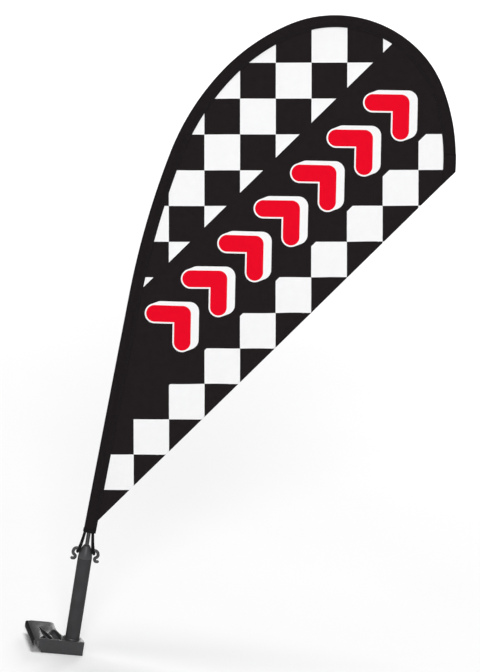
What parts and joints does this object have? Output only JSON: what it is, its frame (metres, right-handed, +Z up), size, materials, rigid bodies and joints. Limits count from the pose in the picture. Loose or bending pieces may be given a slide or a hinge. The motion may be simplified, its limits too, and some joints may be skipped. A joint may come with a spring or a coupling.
{
  "type": "teardrop flag",
  "caption": "Clip-on teardrop flag: window clip with upright tube, turning hook head, curved rod, and a sleeved checked flag held down by elastics.",
  "frame": {"origin": "middle of the glass slot's ceiling in the window clip", "axes": "+Z up the tube, Y along the window glass, +X from the clip's lip to the tube"},
  "size_m": [0.3399, 0.1066, 0.7107],
  "materials": {
    "clip_plastic": "satin moulded, dark grey",
    "head_plastic": "satin moulded, dark grey",
    "strip_rubber": "matt black",
    "elastic_cord": "black braided cover",
    "rod_fibreglass": "drawn glass fibre, dark grey",
    "ferrule_metal": "turned",
    "sleeve_fabric": "black woven polyester",
    "binding_tape": "black ribbed tape",
    "printed_fabric": "printed polyester, black and white checks with red shapes"
  },
  "bodies": {
    "base": {"clip_body": "clip_plastic", "bumper_strip": "strip_rubber", "socket_tube": "clip_plastic"},
    "head": {"hook_head": "head_plastic", "elastic_left": "elastic_cord", "elastic_right": "elastic_cord"},
    "flag": {"rod": "rod_fibreglass", "rod_ferrule": "ferrule_metal", "rod_tip_cap": "strip_rubber", "sleeve": "sleeve_fabric", "mouth_binding": "binding_tape", "elastic_anchor": "binding_tape", "tip_pocket": "sleeve_fabric", "flag_panel": "printed_fabric"}
  },
  "joints": [
    {"name": "head_swivel", "type": "hinge", "parent": "base", "child": "head", "pos_m": [0.0373, -0.0155, 0.05], "axis": [0, 0, 1], "continuous": true},
    {"name": "flag_lift", "type": "slide", "parent": "head", "child": "flag", "axis": [0, 0, 1], "range_m": [0, 0.015], "stiffness_N_per_m": 150, "springref_m": -0.01, "deforming": ["elastic_left", "elastic_right"]}
  ]
}
